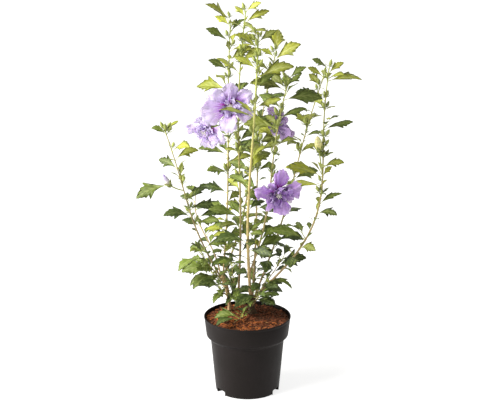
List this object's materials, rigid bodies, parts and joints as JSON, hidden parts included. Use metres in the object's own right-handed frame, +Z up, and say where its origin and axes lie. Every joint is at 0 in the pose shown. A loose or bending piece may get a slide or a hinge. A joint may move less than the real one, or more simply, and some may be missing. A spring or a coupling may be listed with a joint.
{
  "type": "rose of sharon shrub in a pot",
  "caption": "Young rose of sharon shrub with slender upright canes, lobed leaves, buds and double lavender blooms, in a round black nursery pot filled with bark mulch.",
  "frame": {"origin": "centre of the pot's flat underside, on the surface it stands on", "axes": "+Z up along the pot's axis, -Y towards the side that is shown first, +X to that side's right"},
  "size_m": [0.5401, 0.5055, 0.988],
  "materials": {
    "pot": "black injection-moulded polypropylene, faintly grained",
    "soil": "reddish-brown bark chips and fibre over potting soil",
    "stem": "grey-brown young bark with fine ridges",
    "bough": "tan-green smooth young bark",
    "foliage": "satin green leaves, green buds and lavender petals"
  },
  "bodies": {
    "root": {"bough_back": "bough", "bough_back_right": "bough", "bough_far_left": "bough", "bough_far_right": "bough", "bough_front": "bough", "bough_front_right": "bough", "bough_left_inner": "bough", "bough_left_tall": "bough", "bough_right_back": "bough", "bough_tallest": "bough", "foliage_back": "foliage", "foliage_back_right": "foliage", "foliage_far_left": "foliage", "foliage_far_right": "foliage", "foliage_front": "foliage", "foliage_front_right": "foliage", "foliage_left_inner": "foliage", "foliage_left_tall": "foliage", "foliage_low_back": "foliage", "foliage_low_back_left": "foliage", "foliage_low_left": "foliage", "foliage_low_left_back": "foliage", "foliage_low_left_front": "foliage", "foliage_low_middle": "foliage", "foliage_low_right": "foliage", "foliage_low_right_back": "foliage", "foliage_low_right_front": "foliage", "foliage_right_back": "foliage", "foliage_sucker": "foliage", "foliage_tallest": "foliage", "pot": "pot", "root_ball": "soil", "stem_left": "stem", "stem_main": "stem", "stem_second": "stem"}
  },
  "joints": []
}
